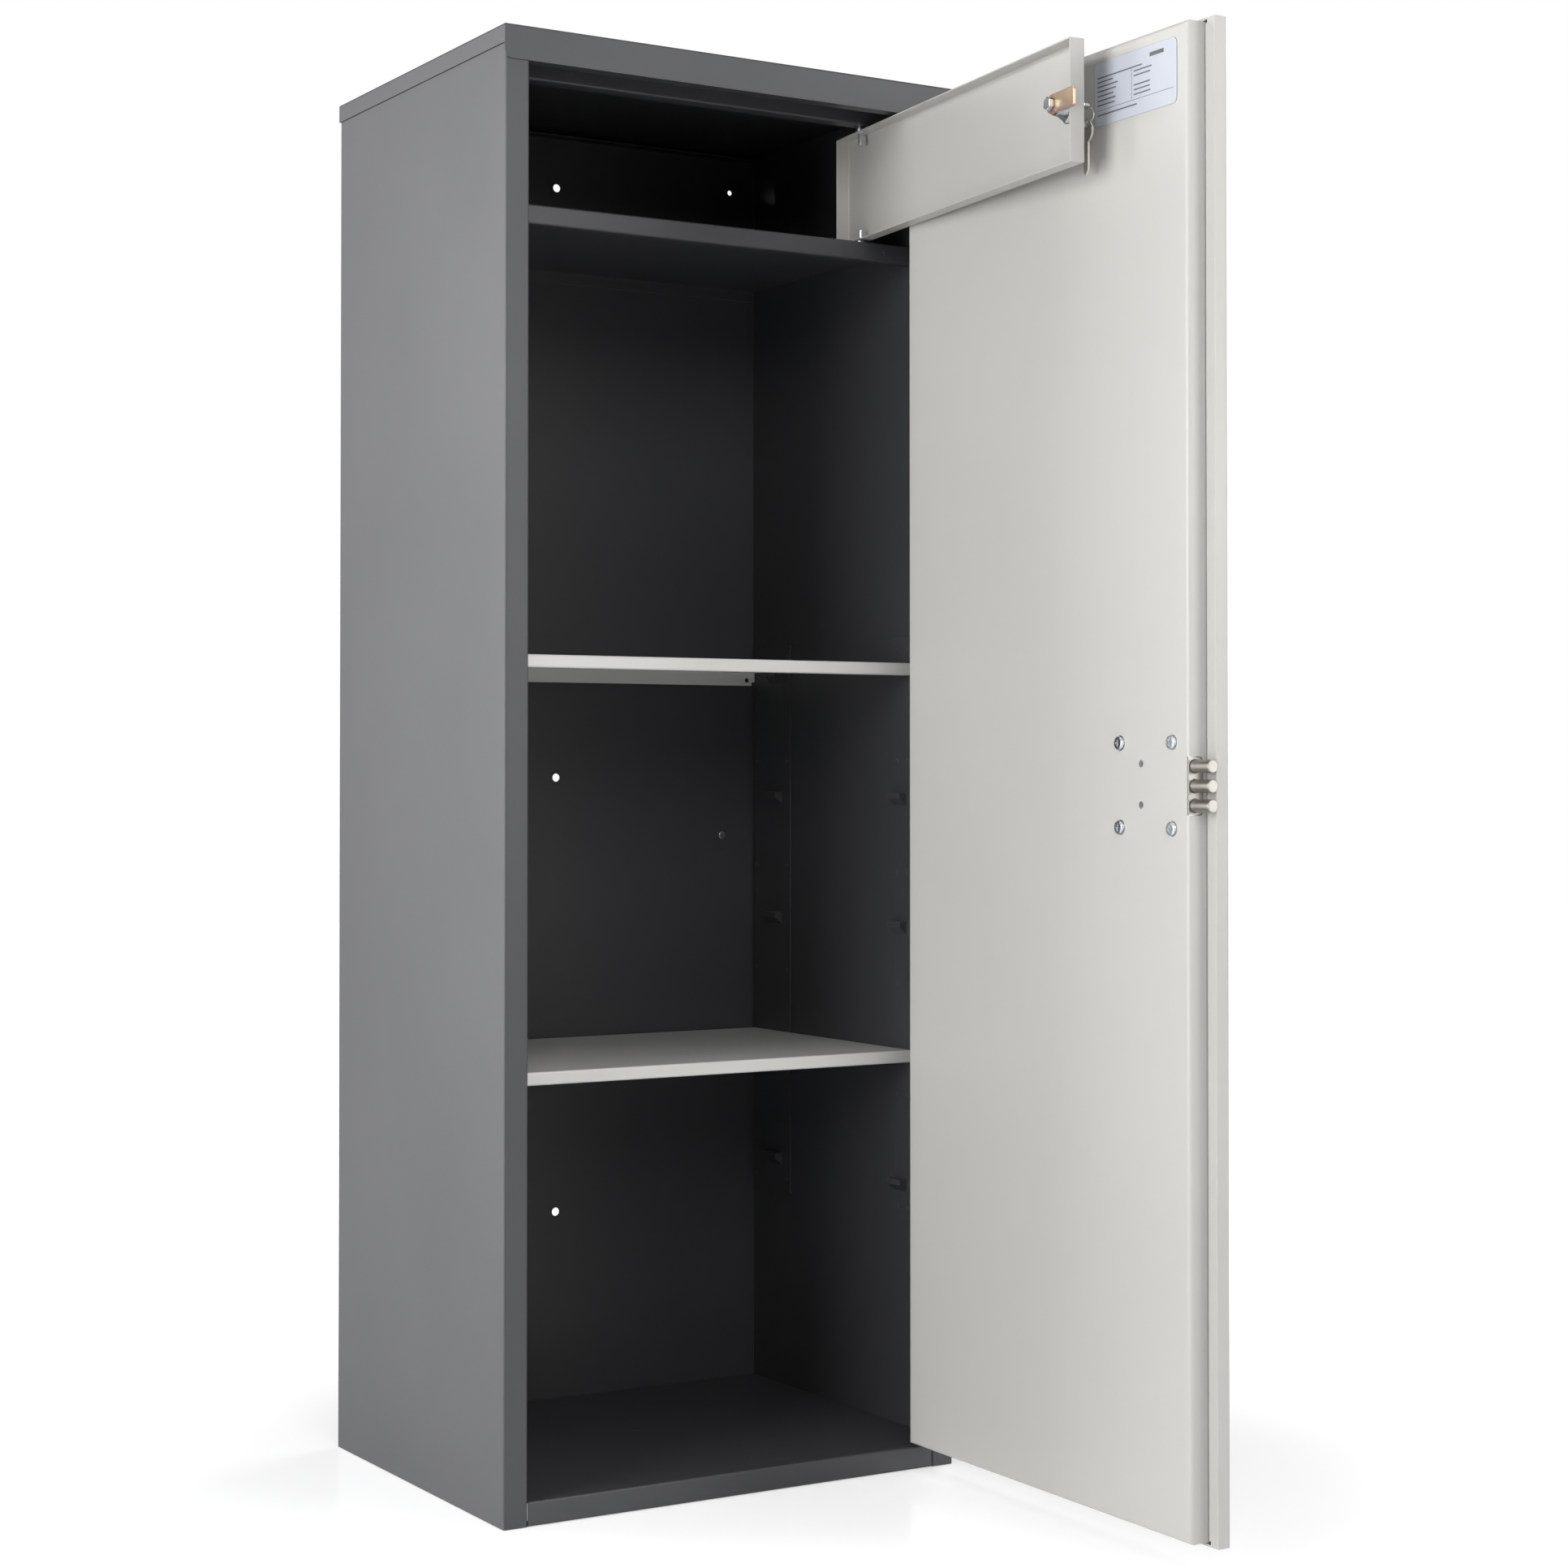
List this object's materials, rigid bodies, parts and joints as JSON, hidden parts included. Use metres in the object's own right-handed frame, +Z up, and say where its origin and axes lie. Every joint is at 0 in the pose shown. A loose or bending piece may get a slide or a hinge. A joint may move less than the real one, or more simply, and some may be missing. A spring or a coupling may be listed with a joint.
{
  "type": "security cabinet",
  "caption": "Tall steel security cabinet with a flat hinged door, an inner lockable treasury compartment with its own door, and loose shelves on pressed lugs.",
  "frame": {"origin": "centre of the base, on the floor", "axes": "+Z up, -Y towards the door opening, +X towards the hinge side"},
  "size_m": [0.453, 0.7766, 1.25],
  "materials": {
    "body_coat": "graphite powder coat with fine orange peel",
    "door_coat": "light warm grey powder coat, satin",
    "zinc": "bright zinc plate",
    "nickel": "satin nickel plate",
    "chromate": "yellow chromate over zinc",
    "label": "satin adhesive label"
  },
  "bodies": {
    "cabinet": {"top_lid": "body_coat", "left_side_panel": "body_coat", "right_side_panel": "body_coat", "back_panel": "body_coat", "floor_pan": "body_coat", "floor_stiffener": "body_coat", "treasury_top_rail": "body_coat", "treasury_shelf": "body_coat", "treasury_catch": "body_coat", "front_left_shelf_rail": "body_coat", "front_right_shelf_rail": "body_coat", "rear_left_shelf_rail": "body_coat", "rear_right_shelf_rail": "body_coat", "back_rivet": "zinc", "treasury_pin_upper": "zinc", "treasury_pin_lower": "zinc", "strike_plate": "zinc", "lower_hinge_frame_leaf": "zinc", "upper_hinge_frame_leaf": "zinc", "lower_hinge_pin": "zinc", "upper_hinge_pin": "zinc"},
    "main_door": {"door_skin": "door_coat", "door_inner_pan": "door_coat", "label_plate": "label", "lock_case": "zinc", "lock_screw_1": "zinc", "lock_screw_2": "zinc", "lock_screw_3": "zinc", "lock_screw_4": "zinc", "lower_hinge_door_leaf": "zinc", "upper_hinge_door_leaf": "zinc", "lock_forend": "nickel", "lock_escutcheon": "nickel"},
    "lock_bolts": {"lock_bolt_1": "nickel", "lock_bolt_2": "nickel", "lock_bolt_3": "nickel", "bolt_carrier": "zinc"},
    "main_lock_plug": {"lock_plug": "nickel"},
    "treasury_door": {"treasury_door": "door_coat", "cam_lock_body": "zinc", "cam_lock_nut": "zinc"},
    "treasury_key": {"treasury_plug": "nickel", "treasury_key": "nickel", "cam_screw": "zinc", "treasury_cam": "chromate"},
    "key_ring": {"key_ring": "nickel"},
    "spare_key": {"spare_key": "nickel"},
    "shelf_upper": {"upper_shelf": "door_coat"},
    "shelf_lower": {"lower_shelf": "door_coat"}
  },
  "joints": [
    {"name": "main_door_hinge", "type": "hinge", "parent": "cabinet", "child": "main_door", "pos_m": [0.198, -0.18, 0.62], "axis": [0, 0, 1], "range_deg": [-89.2, 0]},
    {"name": "main_lock_turn", "type": "hinge", "parent": "main_door", "child": "main_lock_plug", "pos_m": [0.20128, -0.51788, 0.6163], "axis": [0.9999, -0.014, 0], "range_deg": [0, 90.1]},
    {"name": "bolt_slide", "type": "slide", "parent": "main_door", "child": "lock_bolts", "axis": [0.014, 0.9999, 0], "range_m": [0, 0.018]},
    {"name": "treasury_door_hinge", "type": "hinge", "parent": "cabinet", "child": "treasury_door", "pos_m": [0.1735, -0.103, 1.168], "axis": [0, 0, 1], "range_deg": [-83.95, 0]},
    {"name": "treasury_lock_turn", "type": "hinge", "parent": "treasury_door", "child": "treasury_key", "pos_m": [0.14485, -0.46048, 1.168], "axis": [0.9943, -0.1063, 0], "range_deg": [0, 90]},
    {"name": "key_ring_swing", "type": "hinge", "parent": "treasury_key", "child": "key_ring", "pos_m": [0.16016, -0.46212, 1.169], "axis": [0.1063, 0.9943, 0], "range_deg": [-6, 6]},
    {"name": "spare_key_swing", "type": "hinge", "parent": "key_ring", "child": "spare_key", "pos_m": [0.16016, -0.46212, 1.1564], "axis": [-0.9943, 0.1063, 0], "range_deg": [-20, 20]},
    {"name": "upper_shelf_lift", "type": "slide", "parent": "cabinet", "child": "shelf_upper", "axis": [0, 0, 1], "range_m": [0, 0.08]},
    {"name": "lower_shelf_lift", "type": "slide", "parent": "cabinet", "child": "shelf_lower", "axis": [0, 0, 1], "range_m": [0, 0.08]}
  ],
  "couplings": [
    {"joint": "main_lock_turn", "follows": "bolt_slide", "rad_per_m": 87.266},
    {"joint": "treasury_door_hinge", "follows": "main_door_hinge", "ratio": 0.94058}
  ]
}
